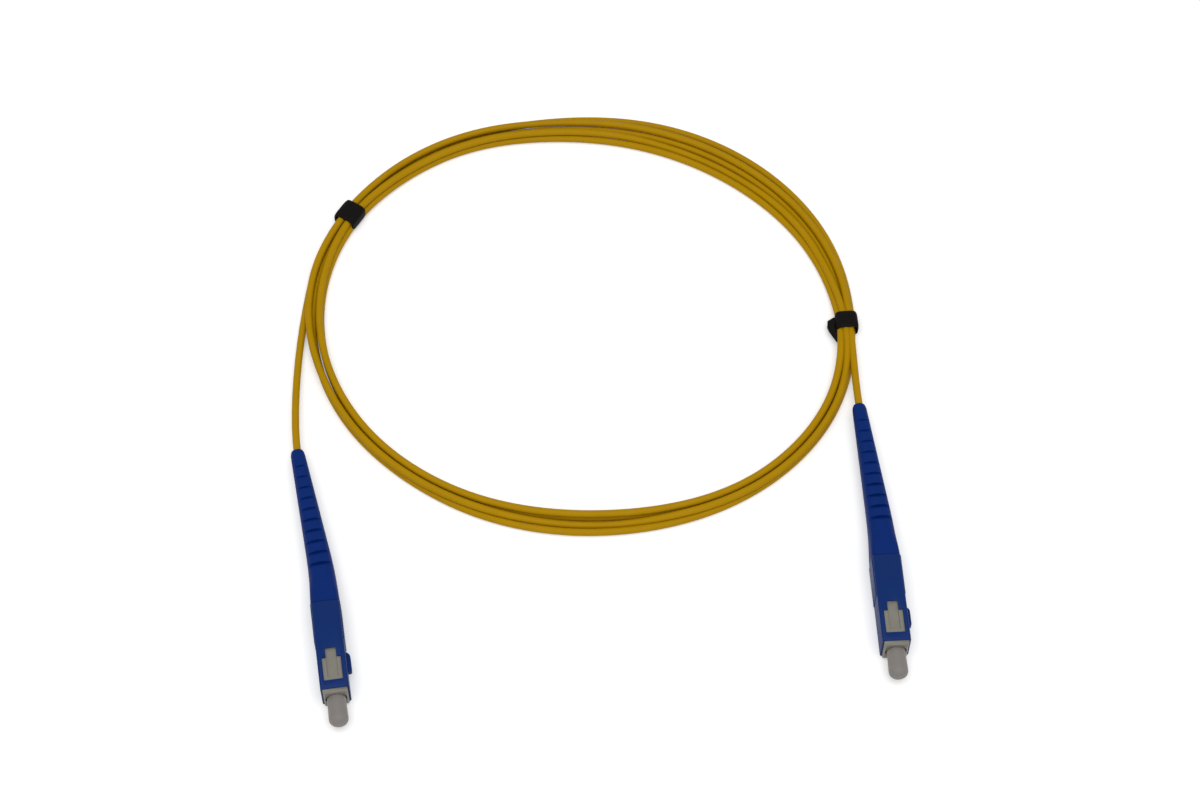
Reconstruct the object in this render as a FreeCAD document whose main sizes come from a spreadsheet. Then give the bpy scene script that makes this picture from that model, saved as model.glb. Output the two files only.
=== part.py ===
import FreeCAD, Part
import math
import os
import re

import Sketcher
from FreeCAD import Placement, Rotation, Vector

# A two metre fibre optic patch cable: a coil of yellow cable held by two ties, with a square
# push-pull plug, a tapered slotted boot and a dust cap on each end. Millimetres, +Z up, lying on Z = 0.
# Each plug is built along its own axis: -Y is the way it is pushed in, Y = 0 is the rear face of its
# grip, drawn back against the boot, +X is the side with the key. Both plugs lie on a window face.

SIZES = {
    # Grip housing: the outer sleeve that slides on the plug frame.
    "grip_width": 7.4,
    "grip_height": 9.0,
    "grip_length": 25.0,
    "grip_wall": 0.44,
    "grip_corner": 0.6,
    "grip_travel": 1.2,
    "pad_rise": 0.2,
    "pad_length": 11.3,
    "pad_height": 7.2,
    "key_width": 2.0,
    "key_rise": 1.1,
    "key_length": 5.6,
    "key_setback": 5.7,
    "key_ramp": 0.9,
    "window_bar": 2.4,
    "neck_width": 2.8,
    "neck_length": 2.6,
    "window_width": 4.9,
    "window_length": 6.4,
    # Plug frame: the inner body, with the shroud round the ferrule in front and the spring chamber behind.
    "slide_gap": 0.06,
    "frame_start": 2.0,
    "frame_reach": 1.0,
    "frame_lead": 0.4,
    "shroud_bore": 5.4,
    "shroud_depth": 5.2,
    "seat_thickness": 1.0,
    "seat_bore": 3.0,
    "chamber_bore": 5.4,
    "recess_depth": 0.5,
    "recess_reach": 1.1,
    "snap_start": 7.0,
    "snap_length": 1.5,
    "snap_width": 2.0,
    "snap_rise": 0.25,
    "snap_gap": 0.1,
    "lug_start": 4.0,
    "lug_length": 1.5,
    "lug_width": 2.0,
    "lug_rise": 0.4,
    # Ferrule, its flange, the spring behind it and the fibre in it.
    "ferrule_diameter": 2.5,
    "ferrule_length": 10.5,
    "ferrule_proud": 1.0,
    "ferrule_lead": 0.4,
    "ferrule_travel": 1.2,
    "seat_gap": 0.05,
    "collar_gap": 0.1,
    "collar_length": 2.6,
    "guide_diameter": 3.4,
    "guide_length": 2.6,
    "buffer_diameter": 0.9,
    "buffer_gap": 0.1,
    "spring_length": 7.0,
    "spring_diameter": 4.7,
    "wire_size": 0.4,
    "spring_turns": 3.0,
    "spring_gap": 0.05,
    # Stop ring, aramid yarn and crimp sleeve, which hold the cable to the plug frame.
    "nose_gap": 0.1,
    "shoulder_length": 1.0,
    "post_diameter": 3.4,
    "post_length": 8.0,
    "post_bore": 1.6,
    "yarn_thickness": 0.2,
    "crimp_wall": 0.4,
    "crimp_neck": 1.4,
    "crimp_grip": 4.4,
    # Boot: a taper from the grip's rectangle to a small blunt tip, with flex slots across its top and bottom.
    "boot_length": 47.7,
    "boot_width": 7.7,
    "boot_height": 8.9,
    "boot_tip": 3.9,
    "boot_corner": 1.25,
    "boot_nose": 0.5,
    "boot_fit": 0.05,
    "boot_bore": 2.4,
    "spigot_width": 6.1,
    "spigot_height": 7.6,
    "spigot_gap": 0.3,
    "boot_gap": 0.1,
    "slot_count": 10,
    "slot_first": 5.2,
    "slot_pitch": 3.45,
    "slot_width": 0.8,
    "slot_floor_tip": 0.3,
    "slot_floor_base": 1.0,
    # Dust cap over the ferrule.
    "cap_diameter": 5.0,
    "cap_length": 11.4,
    "cap_bore_gap": 0.05,
    "cap_round": 1.8,
    "cap_gap": 1.35,
    # Cable, its coil and the two ties.
    "cable_diameter": 2.0,
    "jacket_gap": 0.2,
    "coil_x": -6.342,
    "coil_y": 78.596,
    "coil_turn": -12.5,
    "coil_inner_long": 71.6,
    "coil_inner_short": 61.1,
    "coil_side_width": 6.3,
    "coil_end_width": 8.5,
    "coil_lean": 1.6,
    "coil_height": 3.8,
    "tie_thickness": 0.5,
    "tie_corner": 1.2,
    "left_tie_width": 6.4,
    "left_tie_angle": 162.6,
    "right_tie_width": 5.2,
    "right_tie_angle": 12.0,
    "knot_reach": 1.6,
    "knot_length": 2.4,
    "tail_reach": 6.6,
    "tail_thickness": 1.4,
    # Where each plug lies, and which way it points.
    "left_plug_x": -71.312,
    "left_plug_y": -14.054,
    "left_plug_turn": 8.8,
    "right_plug_x": 74.598,
    "right_plug_y": -0.384,
    "right_plug_turn": 3.2,
}

# Free points of each tail, from where it has left the boot to where it lies among the turns of the coil.
TAIL_POINTS = {
    "left": [(-83.3, 67.2, 2.0)],
    "right": [(69.7, 68.7, 3.0)],
}
BOOT_EXIT = 5.0
ROUTE_SHARE = 0.45
# Corner radius of a hexagon whose flats are one away from its middle.
HEX_CORNER = 1 / math.cos(math.pi / 6)

# Named places along the plug's axis, forward of the grip's rear face, as formulas over the sheet.
FRAME_FRONT = "(grip_length + frame_reach)"
SEAT_FRONT = f"({FRAME_FRONT} - shroud_depth)"
SEAT_REAR = f"({SEAT_FRONT} - seat_thickness)"
FERRULE_TIP = f"({FRAME_FRONT} + ferrule_proud)"
FERRULE_REAR = f"({FERRULE_TIP} - ferrule_length)"
COLLAR_FRONT = f"({SEAT_REAR} - seat_gap)"
COLLAR_REAR = f"({COLLAR_FRONT} - collar_length)"
COLLAR_FLAT = f"((chamber_bore / 2 - collar_gap) / {HEX_CORNER:.6f})"
STOP_FRONT = f"({COLLAR_REAR} - spring_length)"
SHOULDER_REAR = "(frame_start - shoulder_length)"
CAP_REAR = f"({SEAT_FRONT} + cap_gap)"
CAP_FRONT = f"({CAP_REAR} + cap_length)"
CAVITY_X = "(grip_width / 2 - grip_wall)"
CAVITY_Z = "(grip_height / 2 - grip_wall)"
FRAME_X = f"({CAVITY_X} - slide_gap)"
FRAME_Z = f"({CAVITY_Z} - slide_gap)"
YARN_FLAT = "(post_diameter / 2 + yarn_thickness)"
CRIMP_FLAT = f"({YARN_FLAT} + crimp_wall)"
NECK_FLAT = "(cable_diameter / 2 + crimp_wall)"
CRIMP_NECK = f"(post_length - {SHOULDER_REAR} + crimp_neck)"
CRIMP_END = f"({CRIMP_NECK} + crimp_grip)"
JACKET_END = f"({CRIMP_NECK} + jacket_gap)"
BOOT_START = "boot_gap"
KEY_FRONT = "(grip_length - key_setback)"
KEY_REAR = f"({KEY_FRONT} - key_length)"
WINDOW_FRONT = "(grip_length - window_bar)"
WINDOW_STEP = f"({WINDOW_FRONT} - window_length)"
WINDOW_REAR = f"({WINDOW_STEP} - neck_length)"
OUTER_LONG = "(coil_inner_long + coil_side_width)"
OUTER_SHORT = "(coil_inner_short + coil_end_width)"

doc = FreeCAD.newDocument("PatchCable")
sheet = doc.addObject("Spreadsheet::Sheet", "Sizes")
for row, (alias, number) in enumerate(SIZES.items(), start=1):
    sheet.set(f"A{row}", alias)
    sheet.set(f"B{row}", str(number))
    sheet.setAlias(f"B{row}", alias)
doc.recompute()

sub_parts = []


def size(alias):
    return float(sheet.get(alias))


def formula(text):
    """Turns plain aliases into references to the sheet."""
    return re.sub(r"[a-z]+(_[a-z]+)+", lambda found: "Sizes." + found.group(), str(text))


def worth(text):
    """The number that a formula gives now, to draw a sketch near its constraints."""
    return float(sheet.evalExpression(formula(text)))


def bind(feature, place, text):
    feature.setExpression(place, formula(text))


def new_body(label, placement):
    body = doc.addObject("PartDesign::Body", label)
    body.Label = label
    body.Placement = placement
    sub_parts.append(body)
    return body


def new_sketch(body, name, plane, offset=None):
    """A sketch on one of the body's origin planes, moved along that plane's normal by a formula."""
    planes = {feature.Role: feature for feature in body.Origin.OriginFeatures}
    sketch = body.newObject("Sketcher::SketchObject", name)
    sketch.AttachmentSupport = [(planes[plane], "")]
    sketch.MapMode = "FlatFace"
    if offset is not None:
        bind(sketch, "AttachmentOffset.Base.z", offset)
    return sketch


def place_point(sketch, line, end, corner):
    """Fixes one end of a line, or a circle's centre, at two formulas from the origin."""
    for kind, text in zip(("DistanceX", "DistanceY"), corner):
        index = sketch.addConstraint(Sketcher.Constraint(kind, -1, 1, line, end, worth(text)))
        bind(sketch, f"Constraints[{index}]", text)


def add_polygon(sketch, corners):
    """A closed outline of straight lines, each corner bound to a pair of formulas."""
    count = len(corners)
    first = len(sketch.Geometry)
    turns = [2 * math.pi * (index + 0.3) / count for index in range(count)]
    rough = [Vector(math.cos(turn), math.sin(turn), 0) for turn in turns]
    for index in range(count):
        sketch.addGeometry(Part.LineSegment(rough[index], rough[(index + 1) % count]), False)
    for index in range(count):
        following = first + (index + 1) % count
        sketch.addConstraint(Sketcher.Constraint("Coincident", first + index, 2, following, 1))
    for index, corner in enumerate(corners):
        place_point(sketch, first + index, 1, corner)


def add_rectangle(sketch, left, bottom, right, top):
    add_polygon(sketch, [(left, bottom), (right, bottom), (right, top), (left, top)])


def add_circle(sketch, radius):
    """A circle round the origin."""
    circle = sketch.addGeometry(Part.Circle(Vector(0, 0, 0), Vector(0, 0, 1), 1.0), False)
    sketch.addConstraint(Sketcher.Constraint("Coincident", circle, 3, -1, 1))
    index = sketch.addConstraint(Sketcher.Constraint("Radius", circle, 1.0))
    bind(sketch, f"Constraints[{index}]", radius)


def extrude(body, kind, name, sketch, length, backward=False):
    """A Pad or Pocket; on the XZ plane a pad runs forward, a pocket backward."""
    feature = body.newObject(f"PartDesign::{kind}", name)
    feature.Profile = sketch
    feature.Reversed = backward
    bind(feature, "Length", length)
    body.Tip = feature
    doc.recompute()
    return feature


def cut_through(body, name, sketch):
    """A pocket through everything, to both sides of its sketch."""
    feature = body.newObject("PartDesign::Pocket", name)
    feature.Profile = sketch
    feature.Type = "ThroughAll"
    feature.SideType = "Symmetric"
    body.Tip = feature
    doc.recompute()
    return feature


def pad_block(body, name, left, bottom, right, top, start, length):
    """A block whose rear face stands at start, forward of the grip's rear face."""
    sketch = new_sketch(body, name + "Outline", "XZ_Plane", start)
    add_rectangle(sketch, left, bottom, right, top)
    return extrude(body, "Pad", name, sketch, length)


def cut_block(body, name, left, bottom, right, top, start, length):
    sketch = new_sketch(body, name + "Outline", "XZ_Plane", start)
    add_rectangle(sketch, left, bottom, right, top)
    return extrude(body, "Pocket", name, sketch, length, backward=True)


def cut_bore(body, name, radius, start, length):
    sketch = new_sketch(body, name + "Outline", "XZ_Plane", start)
    add_circle(sketch, radius)
    return extrude(body, "Pocket", name, sketch, length, backward=True)


def turn_profile(body, name, profile):
    """A solid of revolution about the plug's axis, from (forward place, radius) pairs."""
    sketch = new_sketch(body, name + "Profile", "YZ_Plane")
    add_polygon(sketch, [(f"-({forward})", radius) for forward, radius in profile])
    feature = body.newObject("PartDesign::Revolution", name)
    feature.Profile = sketch
    feature.ReferenceAxis = (sketch, ["H_Axis"])
    feature.Angle = 360
    body.Tip = feature
    doc.recompute()
    return feature


def edges_where(feature, test):
    return [f"Edge{index}" for index, edge in enumerate(feature.Shape.Edges, start=1) if test(edge)]


def round_edges(body, name, feature, edges, radius, kind="Fillet"):
    rounding = body.newObject(f"PartDesign::{kind}", name)
    rounding.Base = (feature, edges)
    bind(rounding, "Radius" if kind == "Fillet" else "Size", radius)
    body.Tip = rounding
    doc.recompute()
    return rounding


def along_axis(edge):
    """Straight edges that run along the plug."""
    direction = edge.Vertexes[-1].Point - edge.Vertexes[0].Point
    return abs(direction.y) > 0.99 * direction.Length > 0


def at_forward(edge, forward):
    """Edges that lie wholly in the plane at one place along the plug."""
    return all(abs(vertex.Point.y + forward) < 1e-4 for vertex in edge.Vertexes)


def hexagon_sketch(body, name, flat, start):
    """A hexagon across the plug's axis, by the distance of its flats from the axis."""
    sketch = new_sketch(body, name, "XZ_Plane", start)
    corners = []
    for turn in range(0, 360, 60):
        across = HEX_CORNER * math.cos(math.radians(turn))
        up = HEX_CORNER * math.sin(math.radians(turn))
        corners.append((f"{flat} * {across:.6f}", f"{flat} * {up:.6f}"))
    add_polygon(sketch, corners)
    return sketch


def make_grip(label, placement):
    body = new_body(label, placement)
    shell = pad_block(body, "Shell", "-grip_width / 2", "-grip_height / 2", "grip_width / 2",
                      "grip_height / 2", "0", "grip_length")
    round_edges(body, "Corners", shell, edges_where(shell, along_axis), "grip_corner")
    pad_x = "(grip_width / 2 + pad_rise)"
    pad_block(body, "FingerPads", f"-{pad_x}", "-pad_height / 2", pad_x, "pad_height / 2", "0", "pad_length")
    # The key that turns the plug the right way round, with a ramp at its rear end.
    key_root = "(grip_width / 2 - grip_wall / 2)"
    key_top = "(grip_width / 2 + key_rise)"
    key = new_sketch(body, "KeyOutline", "XY_Plane", "-key_width / 2")
    add_polygon(key, [(key_root, f"-{KEY_FRONT}"), (key_top, f"-{KEY_FRONT}"),
                      (key_top, f"-({KEY_REAR} + key_ramp)"), (f"({key_top} - key_ramp)", f"-{KEY_REAR}"),
                      (key_root, f"-{KEY_REAR}")])
    extrude(body, "Pad", "Key", key, "key_width")
    cut_block(body, "Cavity", f"-{CAVITY_X}", f"-{CAVITY_Z}", CAVITY_X, CAVITY_Z, "0", "grip_length")
    # Stepped windows in the two narrow faces, where the hooks of a socket reach the plug frame.
    window = new_sketch(body, "WindowOutline", "XY_Plane")
    half = [("neck_width / 2", WINDOW_REAR), ("neck_width / 2", WINDOW_STEP),
            ("window_width / 2", WINDOW_STEP), ("window_width / 2", WINDOW_FRONT)]
    add_polygon(window, [(across, f"-{along}") for across, along in half]
                + [(f"-{across}", f"-{along}") for across, along in reversed(half)])
    cut_through(body, "Windows", window)
    # Pockets in the side walls, in which the snaps of the plug frame travel.
    pocket_x = f"({FRAME_X} + snap_rise + snap_gap)"
    pocket_z = "(snap_width / 2 + snap_gap)"
    cut_block(body, "SnapPockets", f"-{pocket_x}", f"-{pocket_z}", pocket_x, pocket_z,
              "snap_start - grip_travel - snap_gap", "snap_length + grip_travel + 2 * snap_gap")


def make_frame(label, placement):
    body = new_body(label, placement)
    block = pad_block(body, "Block", f"-{FRAME_X}", f"-{FRAME_Z}", FRAME_X, FRAME_Z,
                      "frame_start", f"{FRAME_FRONT} - frame_start")
    front = size("grip_length") + size("frame_reach")
    round_edges(body, "LeadIn", block, edges_where(block, lambda edge: at_forward(edge, front)),
                "frame_lead", "Chamfer")
    snap_x = f"({FRAME_X} + snap_rise)"
    pad_block(body, "Snaps", f"-{snap_x}", "-snap_width / 2", snap_x, "snap_width / 2",
              "snap_start", "snap_length")
    cut_bore(body, "Shroud", "shroud_bore / 2", SEAT_FRONT, "shroud_depth")
    cut_bore(body, "Seat", "seat_bore / 2", SEAT_REAR, "seat_thickness")
    cut_bore(body, "Chamber", "chamber_bore / 2", "frame_start", f"{SEAT_REAR} - frame_start")
    # Recesses seen through the windows, between the two shoulders that a socket's hooks catch.
    for side, name in ((1, "UpperRecess"), (-1, "LowerRecess")):
        cut_block(body, name, "-neck_width / 2", f"{side} * ({FRAME_Z} - recess_depth)", "neck_width / 2",
                  f"{side} * ({FRAME_Z} + recess_depth)", WINDOW_REAR,
                  "neck_length + window_length - recess_reach")
    # Holes that the stop ring's lugs snap into.
    lug_z = "(lug_width / 2 + snap_gap)"
    cut_block(body, "LugHoles", f"-2 * {FRAME_X}", f"-{lug_z}", f"2 * {FRAME_X}", lug_z,
              "lug_start - snap_gap", "lug_length + 2 * snap_gap")


def make_ferrule(label, placement):
    turn_profile(new_body(label, placement), "Ferrule", [
        (FERRULE_TIP, "0"), (FERRULE_TIP, "ferrule_diameter / 2 - ferrule_lead"),
        (f"{FERRULE_TIP} - ferrule_lead", "ferrule_diameter / 2"), (FERRULE_REAR, "ferrule_diameter / 2"),
        (FERRULE_REAR, "0")])


def make_flange(label, placement):
    """A six-sided collar, turned by sixths when the plug is tuned, with a tube behind it in the spring."""
    body = new_body(label, placement)
    rear = f"({COLLAR_REAR} - guide_length)"
    guide = new_sketch(body, "GuideOutline", "XZ_Plane", rear)
    add_circle(guide, "guide_diameter / 2")
    extrude(body, "Pad", "Guide", guide, "guide_length")
    collar = hexagon_sketch(body, "CollarOutline", COLLAR_FLAT, COLLAR_REAR)
    extrude(body, "Pad", "Collar", collar, "collar_length")
    cut_bore(body, "FerruleBore", "ferrule_diameter / 2", FERRULE_REAR, f"{COLLAR_FRONT} - {FERRULE_REAR}")
    cut_bore(body, "BufferBore", "buffer_diameter / 2 + buffer_gap", rear, f"{FERRULE_REAR} - {rear}")


def make_spring(label, placement):
    """A helix of square wire between the stop ring and the flange's collar."""
    body = new_body(label, placement)
    outline = new_sketch(body, "WireOutline", "YZ_Plane")
    start = f"({STOP_FRONT} + spring_gap)"
    add_rectangle(outline, f"-({start} + wire_size)", "spring_diameter / 2 - wire_size", f"-{start}",
                  "spring_diameter / 2")
    doc.recompute()
    helix = body.newObject("PartDesign::AdditiveHelix", "Helix")
    helix.Profile = outline
    helix.ReferenceAxis = (outline, ["H_Axis"])
    helix.Mode = "height-turns-angle"
    helix.Reversed = True
    bind(helix, "Height", "spring_length - 2 * spring_gap - wire_size")
    bind(helix, "Turns", "spring_turns")
    body.Tip = helix
    doc.recompute()


def make_stop_ring(label, placement):
    body = new_body(label, placement)
    nose = "(chamber_bore / 2 - nose_gap)"
    post = f"({SHOULDER_REAR} - post_length)"
    pad_block(body, "Shoulder", f"-{FRAME_X}", f"-{FRAME_Z}", FRAME_X, FRAME_Z,
              SHOULDER_REAR, "shoulder_length")
    turn_profile(body, "NoseAndPost", [
        (STOP_FRONT, "0"), (STOP_FRONT, nose), (SHOULDER_REAR, nose), (SHOULDER_REAR, "post_diameter / 2"),
        (post, "post_diameter / 2"), (post, "0")])
    for side, name in ((1, "KeySideLug"), (-1, "FarSideLug")):
        near = f"{side} * ({nose} - wire_size)"
        far = f"{side} * ({nose} + lug_rise)"
        pad_block(body, name, near, "-lug_width / 2", far, "lug_width / 2", "lug_start", "lug_length")
    cut_bore(body, "Bore", "post_bore / 2", post, f"{STOP_FRONT} - {post}")


def make_yarn(label, placement):
    """The strength member, spread over the post and pressed to the six flats of the crimping die."""
    body = new_body(label, placement)
    start = f"({SHOULDER_REAR} - post_length)"
    extrude(body, "Pad", "Layer", hexagon_sketch(body, "LayerOutline", YARN_FLAT, start), "post_length")
    cut_bore(body, "Bore", "post_diameter / 2", start, "post_length")


def make_crimp(label, placement):
    """A stepped tube, wide over the yarn and narrow on the jacket, with the die's six flats on both."""
    body = new_body(label, placement)
    neck = hexagon_sketch(body, "NeckOutline", NECK_FLAT, f"-{CRIMP_END}")
    extrude(body, "Pad", "Neck", neck, "crimp_grip")
    barrel = hexagon_sketch(body, "BarrelOutline", CRIMP_FLAT, f"-{CRIMP_NECK}")
    extrude(body, "Pad", "Barrel", barrel, f"{CRIMP_NECK} + {SHOULDER_REAR}")
    cut_bore(body, "JacketBore", "cable_diameter / 2", f"-{CRIMP_END}", CRIMP_END)
    hollow = hexagon_sketch(body, "HollowOutline", YARN_FLAT, f"{SHOULDER_REAR} - post_length")
    extrude(body, "Pocket", "Hollow", hollow, "post_length", backward=True)


def make_fibre(label, placement):
    """The buffered fibre, from the ferrule back to the cable's end, clear of it by the ferrule's travel."""
    rear = f"-({JACKET_END} - ferrule_travel - buffer_gap)"
    radius = "buffer_diameter / 2"
    turn_profile(new_body(label, placement), "Buffer", [
        (FERRULE_REAR, "0"), (FERRULE_REAR, radius), (rear, radius), (rear, "0")])


def make_cap(label, placement):
    """A blind tube over the ferrule; its round end is two slopes with their corner on the round."""
    bore = "(ferrule_diameter / 2 + cap_bore_gap)"
    bore_end = f"({FERRULE_TIP} + ferrule_lead)"
    corner = f"(cap_round * {1 - math.sqrt(0.5):.4f})"
    turn_profile(new_body(label, placement), "Cap", [
        (CAP_REAR, bore), (CAP_REAR, "cap_diameter / 2"), (f"{CAP_FRONT} - cap_round", "cap_diameter / 2"),
        (f"{CAP_FRONT} - {corner}", f"cap_diameter / 2 - {corner}"),
        (CAP_FRONT, "cap_diameter / 2 - cap_round"), (CAP_FRONT, "0"), (bore_end, "0"), (bore_end, bore)])


def cut_slots(body):
    """Rows of flex slots across the top and the bottom, with floors that follow a line down to the tip."""
    row = "(slot_pitch * (slot_count - 1))"
    first = f"(boot_length - slot_first - {row})"
    share = f"(boot_length - {first}) / (boot_length - {BOOT_START})"
    for side, name in ((1, "TopSlots"), (-1, "BottomSlots")):
        tip_floor = f"{side} * (boot_bore / 2 + slot_floor_tip)"
        base_floor = f"{side} * (boot_height / 2 - slot_floor_base)"
        floor = f"({tip_floor} + ({base_floor} - {tip_floor}) * {share})"
        beyond = f"{side} * boot_height"
        guide = new_sketch(body, name + "Guide", "YZ_Plane")
        ends = [(BOOT_START, base_floor), ("boot_length", tip_floor)]
        drawn = [Vector(worth(along), worth(height), 0) for along, height in ends]
        line = guide.addGeometry(Part.LineSegment(*drawn), True)
        for end, place in enumerate(ends, start=1):
            place_point(guide, line, end, place)
        outline = new_sketch(body, name + "Outline", "YZ_Plane")
        edges = (f"({first} - slot_width / 2)", f"({first} + slot_width / 2)")
        add_rectangle(outline, edges[0], floor, edges[1], beyond)
        slot = cut_through(body, name + "Slot", outline)
        pattern = body.newObject("PartDesign::LinearPattern", name)
        pattern.Originals = [slot]
        pattern.Direction = (guide, ["Axis0"])
        bind(pattern, "Length", row)
        bind(pattern, "Occurrences", "slot_count")
        body.Tip = pattern
        doc.recompute()


def make_boot(label, placement):
    """A block tapered both ways, its corners broken, with a spigot for the grip, stepped bores and slots."""
    body = new_body(label, placement)
    plan = new_sketch(body, "PlanOutline", "XY_Plane", "-boot_height / 2")
    add_polygon(plan, [("-boot_width / 2", BOOT_START), ("boot_width / 2", BOOT_START),
                       ("boot_tip / 2", "boot_length"), ("-boot_tip / 2", "boot_length")])
    extrude(body, "Pad", "Plan", plan, "boot_height")
    wedge = new_sketch(body, "WedgeOutline", "YZ_Plane")
    for side in (1, -1):
        beyond = f"{side} * boot_height"
        add_polygon(wedge, [(BOOT_START, f"{beyond} / 2"), ("boot_length", f"{side} * boot_tip / 2"),
                            ("boot_length", beyond), (BOOT_START, beyond)])
    taper = cut_through(body, "Taper", wedge)
    corners = round_edges(body, "Corners", taper, edges_where(taper, along_axis), "boot_corner", "Chamfer")
    tip_edges = edges_where(corners, lambda edge: at_forward(edge, -size("boot_length")))
    round_edges(body, "Nose", corners, tip_edges, "boot_nose", "Chamfer")
    pad_block(body, "Spigot", "-spigot_width / 2", "-spigot_height / 2", "spigot_width / 2",
              "spigot_height / 2", f"-{BOOT_START}", f"{BOOT_START} + {SHOULDER_REAR} - spigot_gap")
    for name, flat, depth in (("CrimpBore", CRIMP_FLAT, CRIMP_NECK), ("NeckBore", NECK_FLAT, CRIMP_END)):
        cut_bore(body, name, f"{flat} * {HEX_CORNER:.6f} + boot_fit", f"-({depth} + spigot_gap)",
                 f"{depth} + spigot_gap + frame_start")
    cut_bore(body, "CableBore", "boot_bore / 2", "-boot_length", "boot_length")
    cut_slots(body)


def plug_point(placement, backward):
    """A point on a plug's axis, behind the grip's rear face."""
    return placement.multVec(Vector(0, backward, 0))


def tube_along(points, diameter):
    """A round tube whose straight runs are joined by arcs as large as the runs allow; prints its radii."""
    edges = []
    radii = []
    start = points[0]
    for before, corner, after in zip(points, points[1:], points[2:]):
        back = before - corner
        ahead = after - corner
        half_turn = (math.pi - back.getAngle(ahead)) / 2
        reach = ROUTE_SHARE * min(back.Length, ahead.Length)
        radius = reach / math.tan(half_turn)
        enter = corner + Vector(back).normalize() * reach
        leave = corner + Vector(ahead).normalize() * reach
        inward = (Vector(back).normalize() + Vector(ahead).normalize()).normalize()
        middle = corner + inward * (radius / math.cos(half_turn) - radius)
        edges.append(Part.LineSegment(start, enter).toShape())
        edges.append(Part.Arc(enter, middle, leave).toShape())
        radii.append(round(radius, 1))
        start = leave
    edges.append(Part.LineSegment(start, points[-1]).toShape())
    path = Part.Wire(edges)
    ring = Part.Wire([Part.Circle(points[0], points[1] - points[0], diameter / 2).toShape()])
    tube = path.makePipeShell([ring], True, True)
    expected = math.pi * diameter ** 2 / 4 * path.Length
    print("tube", round(path.Length, 1), "mm, radii", radii, "volume share", round(tube.Volume / expected, 4))
    return tube


def make_tail(label, placement, side):
    """The cable between the crimp sleeve and the coil: straight through the boot, then down to the table."""
    post_end = size("post_length") + size("shoulder_length") - size("frame_start")
    jacket_end = post_end + size("crimp_neck") + size("jacket_gap")
    points = [plug_point(placement, backward) for backward in (jacket_end, size("boot_length") + BOOT_EXIT)]
    points += [Vector(*point) for point in TAIL_POINTS[side]]
    feature = doc.addObject("Part::Feature", label)
    feature.Label = label
    feature.Shape = tube_along(points, size("cable_diameter"))
    sub_parts.append(feature)


def oval(name, long_radius, short_radius, shift):
    """An oval prism of the coil's height, lifted off the table by the ties."""
    curve = doc.addObject("Part::Ellipse", name + "Curve")
    bind(curve, "MajorRadius", long_radius)
    bind(curve, "MinorRadius", short_radius)
    centre = Vector(size("coil_x"), size("coil_y") + shift, size("tie_thickness"))
    curve.Placement = Placement(centre, Rotation(Vector(0, 0, 1), size("coil_turn")))
    prism = doc.addObject("Part::Extrusion", name)
    prism.Base = curve
    prism.DirMode = "Custom"
    prism.Dir = Vector(0, 0, 1)
    prism.Solid = True
    bind(prism, "LengthFwd", "coil_height")
    return prism


def make_coil(label):
    """The outer shape of four and a half turns: an oval ring, wider at the top of the photograph."""
    lean = size("coil_lean") / 2
    ring = doc.addObject("Part::Cut", label)
    ring.Label = label
    ring.Base = oval("OuterOval", OUTER_LONG, OUTER_SHORT, lean)
    ring.Tool = oval("InnerOval", "coil_inner_long", "coil_inner_short", -lean)
    sub_parts.append(ring)
    return ring


def ring_section(angle):
    """Middle of the coil's section at an angle of the oval, the turn that puts Y along it, and its width."""
    turn = Rotation(Vector(0, 0, 1), size("coil_turn"))
    centre = Vector(size("coil_x"), size("coil_y"), 0)
    lean = Vector(0, size("coil_lean") / 2, 0)
    cosine = math.cos(math.radians(angle))
    sine = math.sin(math.radians(angle))
    inner = turn.multVec(Vector(size("coil_inner_long") * cosine, size("coil_inner_short") * sine, 0)) - lean
    outer_long = size("coil_inner_long") + size("coil_side_width")
    outer_short = size("coil_inner_short") + size("coil_end_width")
    outer = turn.multVec(Vector(outer_long * cosine, outer_short * sine, 0)) + lean
    long_middle = (size("coil_inner_long") + outer_long) / 2
    short_middle = (size("coil_inner_short") + outer_short) / 2
    along = turn.multVec(Vector(-long_middle * sine, short_middle * cosine, 0)).normalize()
    width = (outer - inner).dot(Vector(along.y, -along.x, 0))
    return centre + (inner + outer) / 2, math.degrees(math.atan2(-along.x, along.y)), width


def make_tie(label, side, coil):
    """A band wrapped tight on the coil; the right one ends in a knot and a pointed tail inside the coil."""
    middle, turn, width = ring_section(size(f"{side}_tie_angle"))
    base = Vector(middle.x, middle.y, size("tie_thickness") + size("coil_height") / 2)
    body = doc.addObject("PartDesign::Body", label + "_band")
    body.Placement = Placement(base, Rotation(Vector(0, 0, 1), turn))
    length = f"{side}_tie_width"
    outside = f"({width:.3f} / 2 + tie_thickness)"
    above = "(coil_height / 2 + tie_thickness)"
    band = pad_block(body, "Band", f"-{outside}", f"-{above}", outside, above, f"-{length} / 2", length)
    round_edges(body, "Corners", band, edges_where(band, along_axis), "tie_corner")
    if side == "right":
        knot = f"({outside} + knot_reach)"
        seat = f"({outside} - tie_thickness / 2)"
        tail = new_sketch(body, "TailOutline", "XY_Plane", "-tail_thickness / 2")
        add_polygon(tail, [(f"-{seat}", "knot_length / 2"), (f"-{knot}", "knot_length / 4"),
                           (f"-{knot}", "-knot_length / 4"), (f"-{outside}", "-tail_reach"),
                           (f"-{seat}", "-knot_length / 2")])
        extrude(body, "Pad", "Tail", tail, "tail_thickness")
    tie = doc.addObject("Part::Cut", label)
    tie.Label = label
    tie.Base = body
    tie.Tool = coil
    sub_parts.append(tie)


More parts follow.
